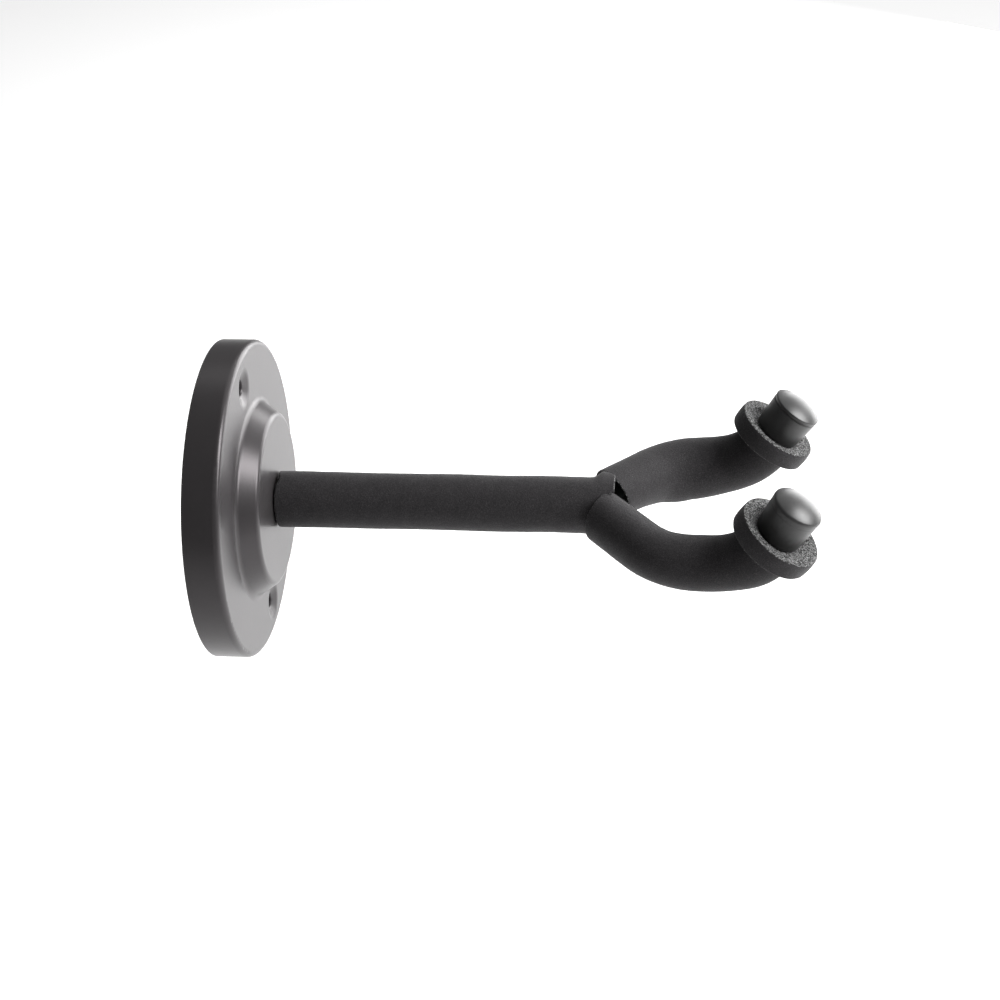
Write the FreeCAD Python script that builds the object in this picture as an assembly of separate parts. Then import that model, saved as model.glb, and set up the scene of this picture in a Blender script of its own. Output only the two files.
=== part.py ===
"""Wall guitar hanger: a pressed wall plate and a foam-covered fork that swivels on it.

Units are millimetres. The origin is the centre of the wall plate's back, on the wall.
+Z is up, -Y points out of the wall, and +X is to the right for someone facing the wall.
"""
import FreeCAD, Part
import math
import os

from FreeCAD import Vector

# Wall plate: a cup pressed from sheet, open towards the wall
SHEET = 2.0
PLATE_RADIUS = 58.0
SKIRT_DEPTH = 13.0
PLATE_EDGE_RADIUS = 2.2
DOME_BASE_RADIUS = 36.2
DOME_FACE_RADIUS = 31.0
DOME_HEIGHT = 7.3
DOME_BASE_FILLET = 3.0
DOME_FACE_FILLET = 2.6

# Screw holes: two pressed dimples, one above and one below the dome
SCREW_SPACING = 93.0
SCREW_HOLE_RADIUS = 2.9
DIMPLE_RADIUS = 7.0
DIMPLE_DEPTH = 1.7
DIMPLE_LAND = 1.6
DIMPLE_WALL = 1.6
DIMPLE_RIM_FILLET = 4.0
DIMPLE_HOLE_FILLET = 0.7

# Swivel: flanged bush in the plate, shank and thread on the stem's wall end
BUSH_RADIUS = 5.5
BUSH_FLANGE_RADIUS = 7.5
BUSH_FLANGE = 1.0
BUSH_BORE_RADIUS = 4.0
SHANK_RADIUS = 3.95
THREAD_PITCH = 1.25
THREAD_RADIUS = 3.9
THREAD_ROOT_RADIUS = 3.25
THREAD_TIP = 4.6
RUNNING_GAP = 0.05
FIT_GAP = 0.05

REAR_WASHER = 1.6
REAR_WASHER_RADIUS = 12.0
WASHER_BORE_RADIUS = 4.2
SPRING_WASHER = 2.0
SPRING_WASHER_RADIUS = 7.4
SPRING_WASHER_SLIT = 1.2
NUT_HEX_HEIGHT = 5.8
NUT_ACROSS_FLATS = 13.0
NUT_COLLAR = 2.2
NUT_COLLAR_RADIUS = 5.9
NUT_INSERT_RADIUS = 5.1
NUT_INSERT = 1.7
NUT_LIP_RADIUS = 4.6

# Arm: stem rod and fork bar, both of the same round bar
BAR_RADIUS = 5.0
STEM_LENGTH = 112.8
FORK_TILT = 4.2
FORK_HALF_ANGLE = 47.4
CROTCH_BEND = 12.0
LEG_LENGTH = 31.3
PRONG_BEND = 24.5
PRONG_SPLAY = 4.2
TIP_BEND = 33.6
TIP_ANGLE = 59.6
TIP_TAIL = 10.6
WELD_RADIUS = 6.6

# Foam sleeves, stop rings and caps
FOAM_GAP = 0.3
STEM_FOAM_RADIUS = 10.2
STEM_FOAM_OVERRUN = 9.0
STEM_FOAM_START = 0.45
PRONG_FOAM_RADIUS = 9.3
LEFT_FOAM_START = 11.0
RIGHT_FOAM_START = 13.0
RING_RADIUS = 15.0
RING_WIDTH = 6.7
RING_BORE_RADIUS = 5.5
RING_BACK = 5.0
CAP_BASE_RADIUS = 8.2
CAP_TOP_RADIUS = 9.2
CAP_LENGTH = 11.2
CAP_DOME = 2.2
CAP_EDGE_RADIUS = 1.0
PATH_GAP = 0.15

X = Vector(1, 0, 0)
OUT = Vector(0, -1, 0)
PLATE_FACE = SKIRT_DEPTH + DOME_HEIGHT
DOME_BACK = PLATE_FACE - SHEET
SHOULDER = PLATE_FACE + BUSH_FLANGE + RUNNING_GAP
WASHER_FACE = DOME_BACK - RUNNING_GAP
FORK_APEX = PLATE_FACE + STEM_LENGTH
TILT = math.radians(FORK_TILT)
FORWARD = Vector(0, -math.cos(TILT), -math.sin(TILT))
FORK_UP = Vector(0, -math.sin(TILT), math.cos(TILT))
APEX = OUT * FORK_APEX


def on_axis(out, radius=0.0):
    """A point of a half-section: this far out of the wall, this far from the stem's axis."""
    return Vector(radius, -out, 0)


def turned(points):
    """A solid turned about the stem's axis from a half-section of (out, radius) points."""
    corners = [on_axis(out, radius) for out, radius in points]
    face = Part.Face(Part.makePolygon(corners + [corners[0]]))
    return face.revolve(Vector(0, 0, 0), Vector(0, 1, 0), 360)


def rod(start, direction, length, radius):
    return Part.makeCylinder(radius, length, start, direction)


def ring(outer, bore, near, far):
    """A flat ring about the stem's axis, from near to far out of the wall."""
    return turned([(near, bore), (near, outer), (far, outer), (far, bore)])


def circles_at(shape, out, radius):
    """The circular edges of this radius, at this distance out of the wall."""
    found = []
    for edge in shape.Edges:
        curve = edge.Curve
        if not isinstance(curve, Part.Circle):
            continue
        if abs(curve.Radius - radius) < 0.01 and abs(curve.Center.y + out) < 0.01:
            found.append(edge)
    return found


def stepped_cup(rim, depth, base, face, height, edge_r, base_r, face_r):
    """A filled cup with a raised centre, rounded at its three circular edges."""
    top = depth + height
    body = turned([(0, 0), (0, rim), (depth, rim), (depth, base), (top, face), (top, 0)])
    for out, radius, fillet in ((depth, rim, edge_r), (depth, base, base_r), (top, face, face_r)):
        body = body.makeFillet(fillet, circles_at(body, out, radius))
    return body


def wall_plate():
    """Pressed cup: the outer form less the same form set in by the sheet's thickness."""
    outer = stepped_cup(PLATE_RADIUS, SKIRT_DEPTH, DOME_BASE_RADIUS, DOME_FACE_RADIUS, DOME_HEIGHT,
                        PLATE_EDGE_RADIUS, DOME_BASE_FILLET, DOME_FACE_FILLET)
    slope = math.atan2(DOME_HEIGHT, DOME_BASE_RADIUS - DOME_FACE_RADIUS)
    shift = SHEET * math.tan(slope / 2)
    inner = stepped_cup(PLATE_RADIUS - SHEET, SKIRT_DEPTH - SHEET, DOME_BASE_RADIUS - shift,
                        DOME_FACE_RADIUS - shift, DOME_HEIGHT,
                        0.5, DOME_BASE_FILLET + SHEET, DOME_FACE_FILLET - SHEET)
    plate = outer.cut(inner)
    plate = plate.cut(rod(on_axis(0), OUT, PLATE_FACE + 1, BUSH_RADIUS + FIT_GAP))
    for side in (1, -1):
        plate = dimpled(plate, Vector(0, 0, side * SCREW_SPACING / 2))
    plate = plate.makeFillet(DIMPLE_RIM_FILLET, circles_at(plate, SKIRT_DEPTH, DIMPLE_RADIUS))
    holes = circles_at(plate, SKIRT_DEPTH - DIMPLE_DEPTH, SCREW_HOLE_RADIUS)
    return plate.makeFillet(DIMPLE_HOLE_FILLET, holes)


def dimpled(plate, centre):
    """Press a countersunk screw dimple into the plate's flat ring."""
    back = SKIRT_DEPTH - DIMPLE_DEPTH - DIMPLE_LAND
    boss_height = SKIRT_DEPTH - SHEET - back
    boss = Part.makeCone(SCREW_HOLE_RADIUS + DIMPLE_WALL, DIMPLE_RADIUS + DIMPLE_WALL, boss_height,
                         centre + OUT * back, OUT)
    sink = Part.makeCone(SCREW_HOLE_RADIUS, DIMPLE_RADIUS, DIMPLE_DEPTH,
                         centre + OUT * (SKIRT_DEPTH - DIMPLE_DEPTH), OUT)
    hole = rod(centre + OUT * (back - 1), OUT, DIMPLE_DEPTH + DIMPLE_LAND, SCREW_HOLE_RADIUS)
    return plate.fuse(boss).cut(sink).cut(hole)


def swivel_bush():
    """Flanged bush: its flange on the dome's face, its barrel through the sheet."""
    flange_top = PLATE_FACE + BUSH_FLANGE
    return turned([(DOME_BACK, BUSH_BORE_RADIUS), (DOME_BACK, BUSH_RADIUS), (PLATE_FACE, BUSH_RADIUS),
                   (PLATE_FACE, BUSH_FLANGE_RADIUS), (flange_top, BUSH_FLANGE_RADIUS),
                   (flange_top, BUSH_BORE_RADIUS)])


def stem_rod(fork):
    """Stem: threaded end, plain shank, shoulder, then full bar, coped onto the fork bar."""
    section = [(THREAD_TIP, 0), (THREAD_TIP, THREAD_ROOT_RADIUS - 0.5)]
    groove = THREAD_TIP + 0.6
    thread_end = WASHER_FACE - REAR_WASHER
    while groove + THREAD_PITCH < thread_end:
        section.append((groove, THREAD_ROOT_RADIUS))
        section.append((groove + THREAD_PITCH / 2, THREAD_RADIUS))
        groove += THREAD_PITCH
    section += [(groove, THREAD_ROOT_RADIUS), (groove + 0.8, SHANK_RADIUS), (SHOULDER, SHANK_RADIUS),
                (SHOULDER, BAR_RADIUS), (FORK_APEX + BAR_RADIUS, BAR_RADIUS), (FORK_APEX + BAR_RADIUS, 0)]
    stem = turned(section).cut(fork)
    return max(stem.Solids, key=lambda solid: solid.Volume)


def rear_washer():
    return ring(REAR_WASHER_RADIUS, WASHER_BORE_RADIUS, WASHER_FACE - REAR_WASHER, WASHER_FACE)


def spring_washer():
    """Split spring washer, pressed flat, with its slit pointing up."""
    front = WASHER_FACE - REAR_WASHER
    back = front - SPRING_WASHER
    washer = ring(SPRING_WASHER_RADIUS, WASHER_BORE_RADIUS, back, front)
    slit = Part.makeBox(SPRING_WASHER_SLIT, 2 * SPRING_WASHER, SPRING_WASHER_RADIUS + 1)
    slit.translate(Vector(-SPRING_WASHER_SLIT / 2, -SPRING_WASHER, 0))
    slit.rotate(Vector(0, 0, 0), Vector(0, 0, 1), 25)
    slit.translate(OUT * ((front + back) / 2))
    return washer.cut(slit)


def nut_front():
    return WASHER_FACE - REAR_WASHER - SPRING_WASHER


def lock_nut():
    """Hexagon nut with chamfered corners, and a collar that holds the insert."""
    front = nut_front()
    hex_back = front - NUT_HEX_HEIGHT
    back = hex_back - NUT_COLLAR
    corner = NUT_ACROSS_FLATS / math.sqrt(3)
    points = []
    for turn in range(7):
        angle = math.radians(60 * turn)
        points.append(Vector(corner * math.cos(angle), -hex_back, corner * math.sin(angle)))
    prism = Part.Face(Part.makePolygon(points)).extrude(OUT * NUT_HEX_HEIGHT)
    flat = NUT_ACROSS_FLATS / 2
    drop = (corner + 0.5 - flat) * math.tan(math.radians(30))
    limit = turned([(hex_back, 0), (hex_back, flat), (hex_back + drop, corner + 0.5),
                    (front - drop, corner + 0.5), (front, flat), (front, 0)])
    collar = ring(NUT_COLLAR_RADIUS, 1.0, back, hex_back + 0.5)
    bore = rod(on_axis(back - 1), OUT, front - back + 2, SHANK_RADIUS)
    pocket = rod(on_axis(hex_back - NUT_INSERT), OUT, NUT_INSERT, NUT_INSERT_RADIUS)
    mouth = rod(on_axis(back - 1), OUT, 2, NUT_LIP_RADIUS)
    return prism.common(limit).fuse(collar).cut(bore).cut(pocket).cut(mouth).removeSplitter()


def lock_nut_insert():
    hex_back = nut_front() - NUT_HEX_HEIGHT
    return ring(NUT_INSERT_RADIUS - 0.02, SHANK_RADIUS, hex_back - NUT_INSERT, hex_back)


def rotated(vector, axis, degrees):
    return FreeCAD.Rotation(axis, degrees).multVec(vector)


class Path:
    """A run of straight and round stretches, each starting where the last one ended."""

    def __init__(self, point, tangent):
        self.point = point
        self.tangent = tangent
        self.edges = []
        self.start = (point, tangent)

    def straight(self, length):
        end = self.point + self.tangent * length
        self.edges.append(Part.LineSegment(self.point, end).toShape())
        self.point = end

    def bend(self, radius, degrees, axis):
        """Turn about axis by degrees, with this radius at the centreline."""
        inward = axis.cross(self.tangent)
        centre = self.point + inward * radius
        spoke = self.point - centre
        middle = centre + rotated(spoke, axis, degrees / 2)
        end = centre + rotated(spoke, axis, degrees)
        self.edges.append(Part.Arc(self.point, middle, end).toShape())
        self.point = end
        self.tangent = rotated(self.tangent, axis, degrees)

    def swept(self, radius):
        """A round bar of this radius along the whole path."""
        point, tangent = self.start
        section = Part.Wire(Part.makeCircle(radius, point, tangent))
        return Part.Wire(self.edges).makePipeShell([section], True, False)


def leg_direction(side):
    """Unit vector from the fork's apex along a leg; side is 1 for right and -1 for left."""
    angle = math.radians(FORK_HALF_ANGLE)
    return FORWARD * math.cos(angle) + X * (side * math.sin(angle))


def prong_path(side, start):
    """A prong's centreline, from start along its leg to the end of its tip bend."""
    path = Path(APEX + leg_direction(side) * start, leg_direction(side))
    path.straight(LEG_LENGTH - start)
    path.bend(PRONG_BEND, FORK_HALF_ANGLE - PRONG_SPLAY, FORK_UP * -side)
    path.bend(TIP_BEND, TIP_ANGLE, path.tangent.cross(FORK_UP))
    return path


def tip_frame(side):
    """The point and direction at the end of a prong's tip bend."""
    path = prong_path(side, CROTCH_BEND)
    return path.point, path.tangent


def fork_bar():
    """One bar, from the left tip round the crotch to the right tip."""
    to_leg = CROTCH_BEND / math.tan(math.radians(FORK_HALF_ANGLE))
    left = prong_path(-1, to_leg)
    turn = FORK_HALF_ANGLE - PRONG_SPLAY
    bar = Path(left.point + left.tangent * TIP_TAIL, left.tangent * -1)
    bar.straight(TIP_TAIL)
    bar.bend(TIP_BEND, TIP_ANGLE, FORK_UP.cross(left.tangent).normalize())
    bar.bend(PRONG_BEND, turn, FORK_UP * -1)
    bar.straight(LEG_LENGTH - to_leg)
    bar.bend(CROTCH_BEND, 180 - 2 * FORK_HALF_ANGLE, FORK_UP * -1)
    bar.straight(LEG_LENGTH - to_leg)
    bar.bend(PRONG_BEND, turn, FORK_UP * -1)
    bar.bend(TIP_BEND, TIP_ANGLE, bar.tangent.cross(FORK_UP))
    bar.straight(TIP_TAIL)
    return bar.swept(BAR_RADIUS)


def fork_weld(fork, stem):
    """Fillet of weld round the stem's end, where it meets the fork bar."""
    bead = turned([(FORK_APEX - 3.0, BAR_RADIUS - 1), (FORK_APEX - 3.0, BAR_RADIUS),
                   (FORK_APEX, WELD_RADIUS), (FORK_APEX + 3.0, WELD_RADIUS),
                   (FORK_APEX + 5.5, BAR_RADIUS), (FORK_APEX + 5.5, BAR_RADIUS - 1)])
    return bead.cut(fork).cut(stem)


def prong_foam(side, start):
    """Foam sleeve on a prong, from start along its leg, with its end cut flush to the stop ring."""
    outer = prong_path(side, start).swept(PRONG_FOAM_RADIUS)
    bore = prong_path(side, start - 1).swept(BAR_RADIUS + FIT_GAP)
    end, along = tip_frame(side)
    trim = rod(end - along * (RING_BACK + PATH_GAP), along, 2 * RING_BACK, 2 * PRONG_FOAM_RADIUS)
    return outer.cut(bore).cut(trim)


def stem_foam(fork, weld, sleeves):
    """Foam sleeve on the stem, opened out over the bush's flange and cut round the fork."""
    start = PLATE_FACE + STEM_FOAM_START
    end = FORK_APEX + STEM_FOAM_OVERRUN
    relief = PLATE_FACE + BUSH_FLANGE + FOAM_GAP
    bore = BAR_RADIUS + FIT_GAP
    sleeve = turned([(start, BUSH_FLANGE_RADIUS + FOAM_GAP), (start, STEM_FOAM_RADIUS),
                     (end, STEM_FOAM_RADIUS), (end, bore), (relief, bore),
                     (relief, BUSH_FLANGE_RADIUS + FOAM_GAP)])
    clearance = rod(on_axis(FORK_APEX - 3.2), OUT, STEM_FOAM_OVERRUN + 4, WELD_RADIUS + FIT_GAP)
    sleeve = sleeve.cut(clearance).cut(fork).cut(weld)
    for solid in sleeves:
        sleeve = sleeve.cut(solid)
    return max(sleeve.Solids, key=lambda solid: solid.Volume)


def sleeve_space(side, start):
    """The space that a prong's sleeve and its end gap take out of the stem's sleeve."""
    path = Path(APEX + leg_direction(side) * (start - PATH_GAP), leg_direction(side))
    path.straight(LEG_LENGTH - start)
    return path.swept(PRONG_FOAM_RADIUS + PATH_GAP)


def stop_ring(side):
    """Thick foam ring at the tip, square to the bar."""
    end, along = tip_frame(side)
    base = end - along * RING_BACK
    return rod(base, along, RING_WIDTH, RING_RADIUS).cut(rod(base, along, RING_WIDTH, RING_BORE_RADIUS))


def end_cap(side):
    """Rubber cap, wider at its crowned outer end, with a blind hole for the bar."""
    end, along = tip_frame(side)
    base = end + along * (RING_WIDTH - RING_BACK + FIT_GAP)
    cone = Part.makeCone(CAP_BASE_RADIUS, CAP_TOP_RADIUS, CAP_LENGTH, base, along)
    crown_radius = (CAP_TOP_RADIUS ** 2 + CAP_DOME ** 2) / (2 * CAP_DOME)
    top = base + along * CAP_LENGTH
    ball = Part.makeSphere(crown_radius, top + along * (CAP_DOME - crown_radius))
    crown = ball.common(rod(top, along, CAP_DOME + 1, CAP_TOP_RADIUS))
    cap = cone.fuse(crown).removeSplitter()
    rim = [edge for edge in cap.Edges
           if isinstance(edge.Curve, Part.Circle) and abs(edge.Curve.Radius - CAP_TOP_RADIUS) < 0.01]
    cap = cap.makeFillet(CAP_EDGE_RADIUS, rim)
    hole_depth = TIP_TAIL - (RING_WIDTH - RING_BACK)
    return cap.cut(rod(base - along, along, hole_depth + 1, BAR_RADIUS + FIT_GAP))


def build():
    fork = fork_bar()
    stem = stem_rod(fork)
    weld = fork_weld(fork, stem)
    spaces = [sleeve_space(-1, LEFT_FOAM_START), sleeve_space(1, RIGHT_FOAM_START)]
    return {
        "wall_plate": wall_plate(),
        "swivel_bush": swivel_bush(),
        "stem_rod": stem,
        "fork_bar": fork,
        "fork_weld": weld,
        "rear_washer": rear_washer(),
        "spring_washer": spring_washer(),
        "lock_nut": lock_nut(),
        "lock_nut_insert": lock_nut_insert(),
        "stem_foam": stem_foam(fork, weld, spaces),
        "left_prong_foam": prong_foam(-1, LEFT_FOAM_START),
        "right_prong_foam": prong_foam(1, RIGHT_FOAM_START),
        "left_stop_ring": stop_ring(-1),
        "right_stop_ring": stop_ring(1),
        "left_end_cap": end_cap(-1),
        "right_end_cap": end_cap(1),
    }


os.makedirs("parts", exist_ok=True)
for name, shape in build().items():
    shape.exportStep(f"parts/{name}.step")
    print(name, "solids", len(shape.Solids), "valid", shape.isValid(), "volume", round(shape.Volume, 1))
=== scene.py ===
"""Looks of the wall guitar hanger: foam sleeves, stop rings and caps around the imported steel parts.

Metres throughout, in the part's own frame: -Y out of the wall, +Z up, +X right for someone facing the wall.
"""
import math

import bpy
import numpy as np
from mathutils import Matrix, Quaternion, Vector, noise

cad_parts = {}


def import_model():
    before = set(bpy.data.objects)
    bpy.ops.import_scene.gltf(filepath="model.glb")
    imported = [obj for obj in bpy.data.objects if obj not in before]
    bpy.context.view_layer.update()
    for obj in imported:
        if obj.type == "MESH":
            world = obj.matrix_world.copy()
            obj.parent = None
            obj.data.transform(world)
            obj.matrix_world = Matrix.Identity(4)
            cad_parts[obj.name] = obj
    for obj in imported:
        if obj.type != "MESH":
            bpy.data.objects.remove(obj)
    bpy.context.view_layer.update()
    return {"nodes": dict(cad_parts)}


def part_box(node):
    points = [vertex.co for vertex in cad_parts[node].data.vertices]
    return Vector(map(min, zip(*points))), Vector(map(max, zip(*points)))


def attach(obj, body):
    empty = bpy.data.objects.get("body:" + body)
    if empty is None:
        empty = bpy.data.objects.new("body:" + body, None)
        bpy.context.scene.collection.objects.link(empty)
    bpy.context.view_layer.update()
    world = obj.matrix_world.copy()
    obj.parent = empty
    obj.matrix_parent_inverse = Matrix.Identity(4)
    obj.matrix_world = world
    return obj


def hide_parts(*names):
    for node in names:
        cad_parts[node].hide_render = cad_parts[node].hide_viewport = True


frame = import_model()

MM = 0.001

# Driving sizes of the arm, as the steel parts have them
STEM_LENGTH = 112.8 * MM
FORK_TILT = math.radians(4.2)
LEG_ANGLE = math.radians(47.4)
LEG_LENGTH = 31.3 * MM
PRONG_BEND = 24.5 * MM
PRONG_SPLAY = math.radians(4.2)
TIP_BEND = 33.6 * MM
TIP_ANGLE = math.radians(59.6)
BAR_RADIUS = 5.0 * MM
BUSH_FLANGE_TOP = 1.0 * MM
BUSH_FLANGE_RADIUS = 7.5 * MM

LEFT, RIGHT = -1, 1

# Foam sleeves
STEM_FOAM_RADIUS = 10.2 * MM
PRONG_FOAM_RADIUS = 9.3 * MM
FOAM_BORE = BAR_RADIUS + 0.05 * MM
CELL = 0.65 * MM
GAP = 0.15 * MM
EDGE_ROWS = 4
BORE_STEP = 4 * MM

# The cut where a prong's foam begins: where it lies along the leg, how much further back it reaches at the most,
# which way that part faces, and how far the face falls in for each step from the rim to the bar
PRONG_CUTS = {
    LEFT: (10.4 * MM, 3.3 * MM, math.radians(50), 0.2),
    RIGHT: (13.4 * MM, 3.2 * MM, math.radians(15), 1.0),
}
# Where foam bunches up along a prong: distance along and reach in mm, facing and width in degrees, swell in mm
PRONG_SWELLS = {
    LEFT: ((54, 11, -30, 60, 1.1), (74, 10, 150, 60, 2.0)),
    RIGHT: ((54, 13, -34, 60, 1.7), (43, 14, 146, 60, 3.4), (70, 12, 146, 60, 1.5)),
}
# How far the stem's foam stays off each prong's foam, square to the leg
PRONG_ROOM = {LEFT: 0, RIGHT: 4 * MM}

# Stop rings; the shift is along the tip's up side
RING_RADIUS = {LEFT: 15.7 * MM, RIGHT: 15.2 * MM}
RIGHT_RING_SHIFT = 0.6 * MM
RING_WIDTH = 6.7 * MM
RING_BACK = 5.0 * MM
RING_BORE = 5.5 * MM
RING_DISH = 4 * MM

# End caps; the left one is the more worn, so its rim is rounder and its groove is almost gone
CAP_BASE_RADIUS = 8.5 * MM
CAP_TOP_RADIUS = 9.2 * MM
CAP_SINK = 1.7 * MM
CAP_LENGTH = 11.2 * MM + CAP_SINK
CAP_DOME = 3.1 * MM
CAP_HOLE = 9.4 * MM + CAP_SINK
CAP_BORE = 5.05 * MM
CAP_SEGMENTS = 192
CAP_EDGE = {LEFT: 1.5 * MM, RIGHT: 0.5 * MM}
CAP_GROOVE = {LEFT: 0.02 * MM, RIGHT: 0.28 * MM}
LEFT_CAP_EXTRA = 0.7 * MM
LEFT_CAP_SHIFT = 0.4 * MM
LEFT_CAP_LEAN = math.radians(5)

UP = Vector((0, 0, 1))
OUT = Vector((0, -1, 0))
FORK_FORWARD = Vector((0, -math.cos(FORK_TILT), -math.sin(FORK_TILT)))
FORK_UP = Vector((0, -math.sin(FORK_TILT), math.cos(FORK_TILT)))
PLATE_FACE = -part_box("wall_plate")[0].y
APEX = OUT * (PLATE_FACE + STEM_LENGTH)


# ---------------------------------------------------------------- centrelines

class Centreline:
    """Straight and round runs joined end to end, with an up direction carried along them."""

    def __init__(self, point, tangent, up):
        self.runs = []
        self.length = 0.0
        self.end = (point.copy(), tangent.copy(), up.copy())

    def straight(self, length):
        """Adds a straight run."""
        point, tangent, up = self.end
        self.runs.append(("line", self.length, length, point, tangent, up, None, 0.0))
        self.end = (point + tangent * length, tangent, up)
        self.length += length

    def bend(self, radius, angle, axis):
        """Adds a round run that turns by the angle about the axis."""
        point, tangent, up = self.end
        self.runs.append(("arc", self.length, radius * angle, point, tangent, up, axis, radius))
        turn = Quaternion(axis, angle)
        centre = point + axis.cross(tangent) * radius
        self.end = (centre + turn @ (point - centre), turn @ tangent, turn @ up)
        self.length += radius * angle

    def at(self, distance):
        """Point, tangent and up at this distance along; before the start or past the end it runs straight on."""
        if distance >= self.length:
            point, tangent, up = self.end
            return point + tangent * (distance - self.length), tangent, up
        for kind, begin, length, point, tangent, up, axis, radius in self.runs:
            if distance <= begin + length:
                break
        along = distance - begin
        if kind == "line" or along < 0:
            return point + tangent * along, tangent, up
        turn = Quaternion(axis, along / radius)
        centre = point + axis.cross(tangent) * radius
        return centre + turn @ (point - centre), turn @ tangent, turn @ up


def leg_direction(side):
    """The way a leg of the fork runs from the apex."""
    return FORK_FORWARD * math.cos(LEG_ANGLE) + Vector((side * math.sin(LEG_ANGLE), 0, 0))


def prong_line(side):
    """A prong from the fork's apex to the end of its turned-up tip; side is LEFT or RIGHT."""
    line = Centreline(APEX, leg_direction(side), FORK_UP)
    line.straight(LEG_LENGTH)
    line.bend(PRONG_BEND, LEG_ANGLE - PRONG_SPLAY, FORK_UP * -side)
    line.bend(TIP_BEND, TIP_ANGLE, line.end[1].cross(FORK_UP))
    return line


# ---------------------------------------------------------------- mesh helpers

def smoothstep(low, high, value):
    """0 up to low, 1 from high, and a smooth rise between them."""
    t = min(max((value - low) / (high - low), 0.0), 1.0)
    return t * t * (3 - 2 * t)


def wrap(angle):
    """The angle between -pi and pi."""
    return (angle + math.pi) % (2 * math.pi) - math.pi


def lobe(angle, facing, width):
    """1 where the angle faces this way, falling off smoothly round it."""
    return math.exp(-(wrap(angle - facing) / width) ** 2)


def mesh_object(name, points, faces, face_slots, materials):
    """A smooth-shaded mesh in the scene, with a material slot for each face."""
    mesh = bpy.data.meshes.new(name)
    mesh.from_pydata(points, [], faces)
    for material in materials:
        mesh.materials.append(material)
    mesh.polygons.foreach_set("material_index", face_slots)
    mesh.polygons.foreach_set("use_smooth", [True] * len(faces))
    mesh.update()
    obj = bpy.data.objects.new(name, mesh)
    bpy.context.scene.collection.objects.link(obj)
    return obj


def foam_pores(point, seed):
    """Height of an open-cell cut face at a point: walls between pores stand up, pores are pits."""
    sample = point / CELL + Vector((seed, -seed, seed * 0.5))
    near, _ = noise.voronoi(sample)
    wall = near[1] - near[0]
    return -0.5 + min(wall, 0.5)


def skin_height(point, seed):
    """Height of moulded foam skin: slow waves from handling and a fine grain."""
    slow = noise.noise(point / (17 * MM) + Vector((seed, 0, 0))) * 0.22 * MM
    middle = noise.noise(point / (5 * MM) + Vector((0, seed, 0))) * 0.05 * MM
    grain = noise.noise(point / (0.8 * MM) + Vector((0, 0, seed))) * 0.018 * MM
    return slow + middle + grain


def sleeve(name, line, outer, bore, start, end, materials, seed, step=0.5 * MM, edge=0.45 * MM,
           face_step=0.42 * MM, pore_depth=0.22 * MM):
    """A foam tube round a centreline, as one closed skin with cut faces at both ends.

    outer(distance, angle) and bore(distance) are radii; start(angle, radius) and end(angle, radius) are the
    places of the two cuts along the line. Angle 0 is the line's up side, and it grows towards the right hand of
    someone who looks along the line.
    """
    widest = outer(line.length / 2, 0.0)
    around = int(2 * math.pi * widest / step)
    face_rows = max(4, int((widest - bore(0.0)) / face_step))
    length = end(0.0, widest) - start(0.0, widest)
    rows = int(length / step)
    bore_rows = max(3, int(length / BORE_STEP))
    loop = [("start", i / face_rows) for i in range(face_rows)]
    loop += [("start_edge", i / EDGE_ROWS) for i in range(EDGE_ROWS)]
    loop += [("skin", i / rows) for i in range(rows + 1)]
    loop += [("end_edge", i / EDGE_ROWS) for i in range(1, EDGE_ROWS + 1)]
    loop += [("end", i / face_rows) for i in range(1, face_rows + 1)]
    loop += [("bore", i / bore_rows) for i in range(1, bore_rows)]
    points = []
    for kind, u in loop:
        for j in range(around):
            angle = 2 * math.pi * j / around
            points.append(sleeve_point(line, outer, bore, start, end, kind, u, angle, edge, seed, pore_depth))
    count = len(loop)
    faces = []
    slots = []
    for i in range(count):
        after = (i + 1) % count
        cut = loop[i][0] != "skin" and loop[after][0] != "skin"
        for j in range(around):
            k = (j + 1) % around
            faces.append((i * around + j, i * around + k, after * around + k, after * around + j))
            slots.append(1 if cut else 0)
    return mesh_object(name, points, faces, slots, materials)


def sleeve_point(line, outer, bore, start, end, kind, u, angle, edge, seed, pore_depth):
    """One point of a sleeve's closed section: kind says which part of the section, and u how far along that part.

    The cuts depend on the radius and the radius on the place, so the rim is found in two steps from a usual radius.
    """
    at_start = kind in ("start", "start_edge")
    cut = start if at_start else end
    sign = 1 if at_start else -1
    place = cut(angle, outer(cut(angle, STEM_FOAM_RADIUS), angle))
    rim = outer(place, angle)
    hole = bore(place)
    if kind == "start":
        radius = hole + (rim - edge - hole) * u
        distance = start(angle, radius)
    elif kind == "end":
        radius = rim - edge + (hole - rim + edge) * u
        distance = end(angle, radius)
    elif kind == "start_edge":
        radius = rim - edge + edge * math.sin(u * math.pi / 2)
        distance = start(angle, rim) + edge * (1 - math.cos(u * math.pi / 2))
    elif kind == "end_edge":
        radius = rim - edge + edge * math.cos(u * math.pi / 2)
        distance = end(angle, rim) - edge * (1 - math.sin(u * math.pi / 2))
    elif kind == "skin":
        low = start(angle, outer(start(angle, rim), angle)) + edge
        high = end(angle, outer(end(angle, rim), angle)) - edge
        distance = low + (high - low) * u
        radius = outer(distance, angle)
    else:
        low = start(angle, bore(start(angle, BAR_RADIUS)))
        high = end(angle, bore(end(angle, BAR_RADIUS)))
        distance = high + (low - high) * u
        radius = bore(distance)
    centre, tangent, up = line.at(distance)
    across = tangent.cross(up)
    spoke = up * math.cos(angle) + across * math.sin(angle)
    point = centre + spoke * radius
    if kind in ("start", "end"):
        fade = min(1.0, 5 * u, 5 * (1 - u))  # no pores right at the rim and at the bore
        return point + tangent * (-sign * foam_pores(point, seed) * pore_depth * fade)
    if kind == "bore":
        return point
    return point + spoke * skin_height(point, seed)


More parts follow.
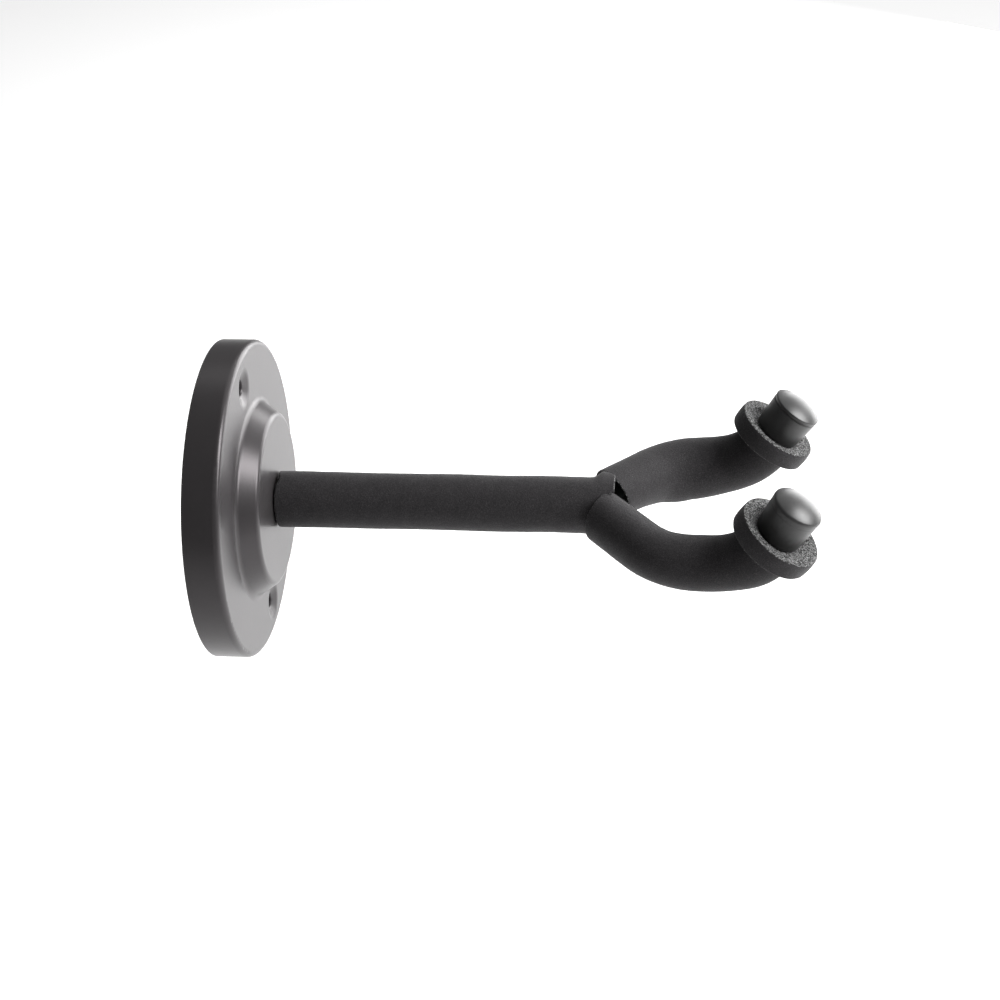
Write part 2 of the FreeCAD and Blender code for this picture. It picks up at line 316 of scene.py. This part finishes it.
def lathe(name, profile, base, along, materials, segments):
    """Turns a profile of (height, radius) points about the line from base along, and closes both its ends."""
    side = along.orthogonal().normalized()
    other = along.cross(side)
    points = []
    for height, radius in profile:
        for j in range(segments):
            angle = 2 * math.pi * j / segments
            points.append(base + along * height + (side * math.cos(angle) + other * math.sin(angle)) * radius)
    faces = []
    last = len(profile) - 1
    for i in range(last):
        for j in range(segments):
            k = (j + 1) % segments
            faces.append((i * segments + j, i * segments + k, (i + 1) * segments + k, (i + 1) * segments + j))
    faces.append(tuple(range(segments))[::-1])
    faces.append(tuple(last * segments + j for j in range(segments)))
    return mesh_object(name, points, faces, [0] * len(faces), materials)


# ---------------------------------------------------------------- materials

def new_material(name):
    """A material with its nodes, links and shader."""
    material = bpy.data.materials.new(name)
    material.use_nodes = True
    nodes = material.node_tree.nodes
    return material, nodes, material.node_tree.links, nodes["Principled BSDF"]


def coordinates(nodes, links, scale=1.0):
    """Object coordinates in millimetres."""
    place = nodes.new("ShaderNodeTexCoord")
    mapping = nodes.new("ShaderNodeMapping")
    mapping.inputs["Scale"].default_value = (1000 * scale,) * 3
    links.new(place.outputs["Object"], mapping.inputs["Vector"])
    return mapping.outputs["Vector"]


def noise_node(nodes, links, vector, scale, detail=3.0, roughness=0.55):
    """Cloudy noise of 0 to 1, with this many features to a millimetre."""
    node = nodes.new("ShaderNodeTexNoise")
    node.inputs["Scale"].default_value = scale
    node.inputs["Detail"].default_value = detail
    node.inputs["Roughness"].default_value = roughness
    links.new(vector, node.inputs["Vector"])
    return node.outputs["Fac"]


def cell_node(nodes, links, vector, scale, feature="F1", output="Distance"):
    """Voronoi cells, with this many cells to a millimetre."""
    node = nodes.new("ShaderNodeTexVoronoi")
    node.feature = feature
    node.inputs["Scale"].default_value = scale
    links.new(vector, node.inputs["Vector"])
    return node.outputs[output]


def ramp(nodes, links, factor, stops):
    """A colour ramp from (position, colour) stops."""
    node = nodes.new("ShaderNodeValToRGB")
    elements = node.color_ramp.elements
    while len(elements) < len(stops):
        elements.new(0.5)
    for element, (position, colour) in zip(elements, stops):
        element.position = position
        element.color = (*colour, 1.0)
    links.new(factor, node.inputs["Fac"])
    return node.outputs["Color"]


def spread(nodes, links, factor, low, high):
    """Maps a factor of 0 to 1 onto low to high."""
    node = nodes.new("ShaderNodeMapRange")
    node.inputs["To Min"].default_value = low
    node.inputs["To Max"].default_value = high
    links.new(factor, node.inputs["Value"])
    return node.outputs["Result"]


def multiply(nodes, links, first, second, factor):
    """The first colour, darkened by the second as far as the factor says."""
    node = nodes.new("ShaderNodeMix")
    node.data_type = "RGBA"
    node.blend_type = "MULTIPLY"
    node.inputs["Factor"].default_value = factor
    links.new(first, node.inputs["A"])
    links.new(second, node.inputs["B"])
    return node.outputs["Result"]


def bump(nodes, links, height, distance, normal=None, strength=1.0):
    """A normal from a height of 0 to 1 over this distance in metres, on top of another normal if there is one."""
    node = nodes.new("ShaderNodeBump")
    node.inputs["Strength"].default_value = strength
    node.inputs["Distance"].default_value = distance
    links.new(height, node.inputs["Height"])
    if normal is not None:
        links.new(normal, node.inputs["Normal"])
    return node.outputs["Normal"]


def grey(value):
    return (value, value, value)


def foam_skin_material():
    """Closed-cell foam tube: near black, matt, finely grained, slightly dusty."""
    material, nodes, links, shader = new_material("foam_skin")
    place = coordinates(nodes, links)
    mottle = noise_node(nodes, links, place, 0.22, 4.0)
    speckle = noise_node(nodes, links, place, 3.4, 2.0, 0.7)
    tints = [(0.34, (0.010, 0.009, 0.010)), (0.52, (0.022, 0.020, 0.022)), (0.70, (0.056, 0.053, 0.055))]
    colours = ramp(nodes, links, speckle, tints)
    shade = ramp(nodes, links, mottle, [(0.3, grey(0.62)), (0.7, grey(1.0))])
    links.new(multiply(nodes, links, colours, shade, 0.6), shader.inputs["Base Color"])
    links.new(spread(nodes, links, speckle, 0.62, 0.86), shader.inputs["Roughness"])
    shader.inputs["Sheen Weight"].default_value = 0.09
    shader.inputs["Sheen Roughness"].default_value = 0.4
    shader.inputs["Specular IOR Level"].default_value = 0.30
    cells = cell_node(nodes, links, place, 2.2)
    normal = bump(nodes, links, cells, 0.00012, strength=0.5)
    normal = bump(nodes, links, speckle, 0.00012, normal, 0.6)
    links.new(normal, shader.inputs["Normal"])
    return material


def foam_cut_material():
    """Sawn face of the foam: open pores with paler walls, and the pits painted near black as shade in the pores."""
    material, nodes, links, shader = new_material("foam_cut")
    place = coordinates(nodes, links)
    walls = cell_node(nodes, links, place, 1 / (CELL * 1000), "DISTANCE_TO_EDGE")
    grains = cell_node(nodes, links, place, 1.3 / (CELL * 1000), "F1", "Color")
    # Pale pore walls fade to near-black pore centres; the black of the pits is painted shade in the recesses
    colours = ramp(nodes, links, walls, [(0.0, grey(0.29)), (0.10, grey(0.125)), (0.28, grey(0.006))])
    shade = ramp(nodes, links, grains, [(0.32, grey(0.10)), (0.72, grey(1.0))])
    links.new(multiply(nodes, links, colours, shade, 1.0), shader.inputs["Base Color"])
    shader.inputs["Roughness"].default_value = 0.9
    shader.inputs["Specular IOR Level"].default_value = 0.25
    shader.inputs["Sheen Weight"].default_value = 0.08
    normal = bump(nodes, links, walls, -0.0002, strength=0.7)
    links.new(normal, shader.inputs["Normal"])
    return material


def cap_material():
    """Moulded rubber with a satin skin."""
    material, nodes, links, shader = new_material("cap_rubber")
    place = coordinates(nodes, links)
    cloud = noise_node(nodes, links, place, 0.35, 4.0)
    fine = noise_node(nodes, links, place, 5.0, 2.0)
    links.new(ramp(nodes, links, cloud, [(0.3, grey(0.008)), (0.7, grey(0.013))]), shader.inputs["Base Color"])
    links.new(spread(nodes, links, cloud, 0.40, 0.50), shader.inputs["Roughness"])
    shader.inputs["Specular IOR Level"].default_value = 0.6
    shader.inputs["Coat Weight"].default_value = 0.25
    shader.inputs["Coat Roughness"].default_value = 0.35
    links.new(bump(nodes, links, fine, 0.00004, strength=0.35), shader.inputs["Normal"])
    return material


def plate_material():
    """Satin charcoal coat on pressed steel, with the coat's fine orange peel."""
    material, nodes, links, shader = new_material("plate_paint")
    place = coordinates(nodes, links)
    cloud = noise_node(nodes, links, place, 0.06, 4.0)
    peel = noise_node(nodes, links, place, 0.9, 2.0, 0.4)
    grit = noise_node(nodes, links, place, 9.0, 1.0)
    tints = [(0.3, (0.025, 0.023, 0.024)), (0.7, (0.029, 0.027, 0.028))]
    links.new(ramp(nodes, links, cloud, tints), shader.inputs["Base Color"])
    links.new(spread(nodes, links, grit, 0.29, 0.36), shader.inputs["Roughness"])
    shader.inputs["Specular IOR Level"].default_value = 0.40
    shader.inputs["Specular Tint"].default_value = (1.0, 0.94, 0.97, 1)
    normal = bump(nodes, links, peel, 0.00004, strength=0.25)
    normal = bump(nodes, links, grit, 0.00001, normal, 0.3)
    links.new(normal, shader.inputs["Normal"])
    return material


def bar_material():
    """Black paint on drawn bar."""
    material, nodes, links, shader = new_material("bar_paint")
    place = coordinates(nodes, links)
    peel = noise_node(nodes, links, place, 0.9, 3.0)
    links.new(ramp(nodes, links, peel, [(0.3, grey(0.012)), (0.7, grey(0.020))]), shader.inputs["Base Color"])
    links.new(spread(nodes, links, peel, 0.25, 0.42), shader.inputs["Roughness"])
    links.new(bump(nodes, links, peel, 0.00008, strength=0.4), shader.inputs["Normal"])
    return material


def weld_material():
    """Painted weld: close ripples across the bead."""
    material, nodes, links, shader = new_material("weld_paint")
    place = coordinates(nodes, links)
    ripple = nodes.new("ShaderNodeTexWave")
    ripple.inputs["Scale"].default_value = 0.28
    ripple.inputs["Distortion"].default_value = 2.0
    links.new(place, ripple.inputs["Vector"])
    spatter = noise_node(nodes, links, place, 0.8, 3.0)
    links.new(ramp(nodes, links, spatter, [(0.3, grey(0.012)), (0.7, grey(0.026))]), shader.inputs["Base Color"])
    shader.inputs["Roughness"].default_value = 0.42
    normal = bump(nodes, links, ripple.outputs["Fac"], 0.0003, strength=0.6)
    links.new(bump(nodes, links, spatter, 0.0002, normal, 0.5), shader.inputs["Normal"])
    return material


def zinc_material():
    """Zinc-plated steel: brushed, faintly cloudy."""
    material, nodes, links, shader = new_material("zinc_steel")
    place = coordinates(nodes, links)
    cloud = noise_node(nodes, links, place, 0.5, 4.0)
    scratch = noise_node(nodes, links, place, 6.0, 2.0)
    tints = [(0.3, (0.48, 0.49, 0.48)), (0.7, (0.66, 0.66, 0.63))]
    links.new(ramp(nodes, links, cloud, tints), shader.inputs["Base Color"])
    links.new(spread(nodes, links, scratch, 0.24, 0.42), shader.inputs["Roughness"])
    shader.inputs["Metallic"].default_value = 1.0
    links.new(bump(nodes, links, scratch, 0.00002, strength=0.3), shader.inputs["Normal"])
    return material


def nylon_material(name, tints):
    """Moulded nylon, slightly milky."""
    material, nodes, links, shader = new_material(name)
    place = coordinates(nodes, links)
    cloud = noise_node(nodes, links, place, 0.6, 3.0)
    links.new(ramp(nodes, links, cloud, tints), shader.inputs["Base Color"])
    shader.inputs["Roughness"].default_value = 0.5
    shader.inputs["Subsurface Weight"].default_value = 0.15
    shader.inputs["Subsurface Scale"].default_value = 0.002
    links.new(bump(nodes, links, cloud, 0.00003, strength=0.3), shader.inputs["Normal"])
    return material


# ---------------------------------------------------------------- soft parts

FOAM = [foam_skin_material(), foam_cut_material()]
RUBBER = cap_material()


def prong_start(side, angle):
    """Where a prong's foam begins along its leg. The cut leans, and reaches furthest back near the top.

    The angle here grows from the top towards the inside of the fork.
    """
    place, lead, facing, _ = PRONG_CUTS[side]
    return place - lead * ((1 + math.cos(angle - facing)) / 2) ** 2


def prong_end(line, side, angle, radius):
    """Where a prong's foam meets its stop ring, which stands square to the tip. The left one is nicked underneath."""
    lift = TIP_BEND - radius * math.cos(angle)
    notch = 1.3 * MM * lobe(angle, math.pi, 0.30) if side == LEFT else 0.0
    return line.length - TIP_BEND * math.asin((RING_BACK + GAP + notch) / lift)


def prong_foam(side, name):
    """Sleeve on a prong, from its cut by the stem's sleeve to its stop ring."""
    line = prong_line(side)

    def outer(distance, angle):
        radius = PRONG_FOAM_RADIUS
        for where, reach, facing, width, swell in PRONG_SWELLS[side]:
            around = lobe(angle, math.radians(facing), math.radians(width))
            radius += swell * MM * around * math.exp(-((distance / MM - where) / reach) ** 2)
        return radius

    def bore(distance):
        return FOAM_BORE

    def start(angle, radius):
        hollow = PRONG_CUTS[side][3]
        return prong_start(side, side * angle) + hollow * max(0.0, PRONG_FOAM_RADIUS - radius)

    def end(angle, radius):
        return prong_end(line, side, angle, radius)

    return sleeve(name, line, outer, bore, start, end, FOAM, seed=3.0 + side)


def inside_prong(side, point):
    """Is the point inside the space of a prong's foam, with its room round it?"""
    leg = leg_direction(side)
    rel = point - APEX
    along = rel.dot(leg)
    radial = rel - leg * along
    if radial.length > PRONG_FOAM_RADIUS + PRONG_ROOM[side]:
        return False
    inward = leg.cross(FORK_UP) * side
    angle = math.atan2(radial.dot(inward), radial.dot(FORK_UP))
    return along > prong_start(side, angle) - 2 * GAP


def stem_foam():
    """Sleeve on the stem, opened out where it is pushed over the fork, and cut to fit the prongs' sleeves."""
    line = Centreline(OUT * PLATE_FACE, OUT, UP)
    line.straight(STEM_LENGTH)
    flare_from, flare_to, flare = STEM_LENGTH + 1.6 * MM, STEM_LENGTH + 5.8 * MM, 2.9 * MM
    flange_relief, flange_end = BUSH_FLANGE_RADIUS + 0.6 * MM, BUSH_FLANGE_TOP + 0.3 * MM
    weld_relief, weld_start = 6.7 * MM, STEM_LENGTH - 3.3 * MM
    search_from, search_to, search_step = STEM_LENGTH - 6 * MM, STEM_LENGTH + 10.2 * MM, 0.1 * MM

    def outer(distance, angle):
        opened = smoothstep(flare_from, flare_to, distance)
        return STEM_FOAM_RADIUS + flare * opened * lobe(angle, -math.radians(62), math.radians(36))

    def bore(distance):
        if distance < flange_end:
            return flange_relief
        return weld_relief if distance > weld_start else FOAM_BORE

    def start(angle, radius):
        notch = 0.9 * MM * lobe(angle, 0.15, 0.28)
        uneven = 0.12 * MM * math.sin(3 * angle + 1) + 0.10 * MM * math.sin(5 * angle)
        return 0.62 * MM + uneven + notch

    def reach(angle):
        """How far out the skin runs at this angle before it meets a prong's sleeve."""
        spoke = UP * math.cos(angle) + OUT.cross(UP) * math.sin(angle)
        distance = search_from
        while distance < search_to:
            point = OUT * (PLATE_FACE + distance) + spoke * outer(distance, angle)
            if inside_prong(RIGHT, point) or inside_prong(LEFT, point):
                break
            distance += search_step
        return distance

    # The reach all round, smoothed over neighbouring angles
    count = 180
    reaches = np.array([reach(2 * math.pi * i / count) for i in range(count)])
    kernel = np.array([1, 3, 5, 3, 1]) / 13
    reaches = np.convolve(np.concatenate([reaches[-2:], reaches, reaches[:2]]), kernel, mode="valid")

    def end(angle, radius):
        place = angle / (2 * math.pi) * count % count
        low = int(place)
        rim = float(reaches[low] * (1 - place + low) + reaches[(low + 1) % count] * (place - low))
        return rim - 0.6 * max(0.0, STEM_FOAM_RADIUS - radius)

    return sleeve("stem_foam_sleeve", line, outer, bore, start, end, FOAM, seed=11.0)


def stop_ring(side, name):
    """Thick foam washer with rounded, slightly uneven rims; its open-pored face is dished where the cap sits."""
    point, along, up = prong_line(side).end
    shift = up * RIGHT_RING_SHIFT if side == RIGHT else Vector()
    line = Centreline(point - along * RING_BACK + shift, along, up)
    line.straight(RING_WIDTH)

    def outer(distance, angle):
        barrel = 0.25 * MM * (1 - (2 * distance / RING_WIDTH - 1) ** 2)
        return RING_RADIUS[side] - 0.35 * MM + barrel + 0.12 * MM * math.sin(2 * angle + side)

    def bore(distance):
        return RING_BORE

    def start(angle, radius):
        return 0.0

    def end(angle, radius):
        return RING_WIDTH - CAP_SINK * (1 - smoothstep(CAP_BASE_RADIUS, CAP_BASE_RADIUS + RING_DISH, radius))

    return sleeve(name, line, outer, bore, start, end, FOAM, seed=21.0 + side, edge=0.3 * MM,
                  step=0.4 * MM, face_step=0.34 * MM, pore_depth=0.30 * MM)


def arc_points(centre, radius, first, last, count):
    """Points on an arc in (height, radius), with angles in degrees from the height axis."""
    angles = np.radians(np.linspace(first, last, count))
    return [(centre[0] + radius * math.cos(a), centre[1] + radius * math.sin(a)) for a in angles]


def end_cap(side, name):
    """Push-on rubber cap: flared wall, a fine groove under the lip, and a crowned top.

    The cap is pushed a little way into its ring's face. The left one stands higher and leans to the wall.
    """
    point, along, up = prong_line(side).end
    shift, lean, extra = (LEFT_CAP_SHIFT, LEFT_CAP_LEAN, LEFT_CAP_EXTRA) if side == LEFT else (0.0, 0.0, 0.0)
    tilted = along * math.cos(lean) + up * math.sin(lean)
    base = point + along * (RING_WIDTH - RING_BACK - CAP_SINK + 0.05 * MM) + up * shift
    top = CAP_LENGTH + extra
    slope = (CAP_TOP_RADIUS - CAP_BASE_RADIUS) / CAP_LENGTH
    edge = CAP_EDGE[side]

    def wall(height):
        return CAP_BASE_RADIUS + slope * height - 0.08 * MM

    # The hole from its end outwards, the foot, the wall, the groove, the rounded rim and the crown
    groove = top - edge - 1.0 * MM
    groove_floor = wall(groove) - CAP_GROOVE[side]
    profile = [(CAP_HOLE, 1.0 * MM), (CAP_HOLE, 3.0 * MM), (CAP_HOLE, CAP_BORE)]
    profile += [(h, CAP_BORE) for h in np.linspace(CAP_HOLE * 0.8, 0.4 * MM, 5)]
    profile += [(0.0, CAP_BORE + 0.4 * MM), (0.0, wall(0) - 1.5 * MM)]
    profile += arc_points((0.5 * MM, wall(0) - 0.5 * MM), 0.5 * MM, 180, 90, 6)
    profile += [(h, wall(h)) for h in np.linspace(1.2 * MM, groove - 0.5 * MM, 10)]
    profile += [(groove - 0.26 * MM, wall(groove)), (groove - 0.12 * MM, groove_floor),
                (groove + 0.12 * MM, groove_floor), (groove + 0.26 * MM, wall(groove))]
    rim_radius = wall(top) - edge
    crown = (rim_radius ** 2 + CAP_DOME ** 2) / (2 * CAP_DOME)
    rim_height = top - edge * 0.6
    turn = math.degrees(math.asin(rim_radius / (crown + edge)))
    profile += arc_points((rim_height, rim_radius), edge, 90, turn, 10)
    shoulder = profile[-1]
    sphere = shoulder[1] / math.sin(math.radians(turn))
    centre = shoulder[0] - sphere * math.cos(math.radians(turn))
    for share in np.linspace(0.95, 0.03, 18):
        radius = shoulder[1] * share
        profile.append((centre + math.sqrt(sphere ** 2 - radius ** 2), radius))
    return lathe(name, profile, base, tilted, [RUBBER], CAP_SEGMENTS)


for piece, node, slot_name in (
        (stem_foam(), "stem_foam", "foam"),
        (prong_foam(LEFT, "left_prong_sleeve"), "left_prong_foam", "foam"),
        (prong_foam(RIGHT, "right_prong_sleeve"), "right_prong_foam", "foam"),
        (stop_ring(LEFT, "left_foam_ring"), "left_stop_ring", "ring_foam"),
        (stop_ring(RIGHT, "right_foam_ring"), "right_stop_ring", "ring_foam")):
    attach(piece, "arm")
    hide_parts(node)

for piece, node in ((end_cap(LEFT, "left_rubber_cap"), "left_end_cap"),
                    (end_cap(RIGHT, "right_rubber_cap"), "right_end_cap")):
    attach(piece, "arm")
    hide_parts(node)


# ---------------------------------------------------------------- finishes on the steel parts

ZINC = zinc_material()
BAR = bar_material()
FINISHES = {
    "wall_plate": plate_material(),
    "swivel_bush": nylon_material("black_nylon", [(0.3, grey(0.010)), (0.7, grey(0.016))]),
    "lock_nut_insert": nylon_material("natural_nylon", [(0.3, (0.62, 0.61, 0.56)), (0.7, (0.74, 0.73, 0.69))]),
    "stem_rod": BAR,
    "fork_bar": BAR,
    "fork_weld": weld_material(),
    "rear_washer": ZINC,
    "spring_washer": ZINC,
    "lock_nut": ZINC,
}
for node, material in FINISHES.items():
    for entry in frame["nodes"][node].material_slots:
        entry.material = material


# ---------------------------------------------------------------- stage, lights and camera

def stage_floor():
    """A wide pale floor below the hanger."""
    size = 4.0
    height = -0.32
    corners = [(-size, -size, height), (size, -size, height), (size, size, height), (-size, size, height)]
    material, nodes, links, shader = new_material("floor")
    shader.inputs["Base Color"].default_value = (0.95, 0.95, 0.95, 1)
    shader.inputs["Roughness"].default_value = 1.0
    shader.inputs["Specular IOR Level"].default_value = 0.0
    shader.inputs["Emission Color"].default_value = (1, 1, 1, 1)
    shader.inputs["Emission Strength"].default_value = 0.32
    floor = mesh_object("floor", corners, [(0, 1, 2, 3)], [0], [material])


def area_light(name, place, aim, width, height, power):
    """A softbox at a place, turned to its aim, that the camera doesn't see."""
    light = bpy.data.lights.new(name, "AREA")
    light.shape = "RECTANGLE"
    light.size = width
    light.size_y = height
    light.energy = power
    obj = bpy.data.objects.new(name, light)
    obj.location = place
    obj.rotation_mode = "QUATERNION"
    obj.rotation_quaternion = (Vector(aim) - Vector(place)).to_track_quat("-Z", "Y")
    obj.visible_camera = False
    bpy.context.scene.collection.objects.link(obj)


def camera():
    """Camera above and to the left of the hanger, looking across it."""
    azimuth, elevation, roll = (math.radians(a) for a in (-82.07, 33.62, -3.23))
    back = Vector((math.sin(azimuth) * math.cos(elevation), -math.cos(azimuth) * math.cos(elevation),
                   math.sin(elevation)))
    right = Vector((math.cos(azimuth), math.sin(azimuth), 0))
    up = back.cross(right)
    turned_right = right * math.cos(roll) + up * math.sin(roll)
    turned_up = up * math.cos(roll) - right * math.sin(roll)
    aim = Vector((0, -97.75 * MM, 0)) + turned_right * 3.93 * MM + turned_up * 1.14 * MM
    data = bpy.data.cameras.new("camera")
    data.sensor_width = 36.0
    data.lens = 71.1
    obj = bpy.data.objects.new("camera", data)
    axes = Matrix((turned_right, turned_up, back)).transposed()
    obj.matrix_world = Matrix.Translation(aim + back * 712.6 * MM) @ axes.to_4x4()
    bpy.context.scene.collection.objects.link(obj)
    bpy.context.scene.camera = obj


def world():
    """Soft even room light."""
    made = bpy.data.worlds.new("room")
    made.use_nodes = True
    background = made.node_tree.nodes["Background"]
    background.inputs["Color"].default_value = (1, 1, 1, 1)
    background.inputs["Strength"].default_value = 0.2
    bpy.context.scene.world = made


stage_floor()
area_light("overhead_softbox", (1.15, -0.35, 1.3), (0.95, -0.12, -0.32), 1.6, 1.6, 8.2)
area_light("front_softbox", (-0.06, -1.09, 0.70), (0, -0.03, 0), 0.45, 0.8, 24)
area_light("right_softbox", (1.06, -0.80, 0.12), (0, -0.18, 0), 1.0, 1.0, 21)
camera()
world()
bpy.context.scene.view_settings.view_transform = "Standard"
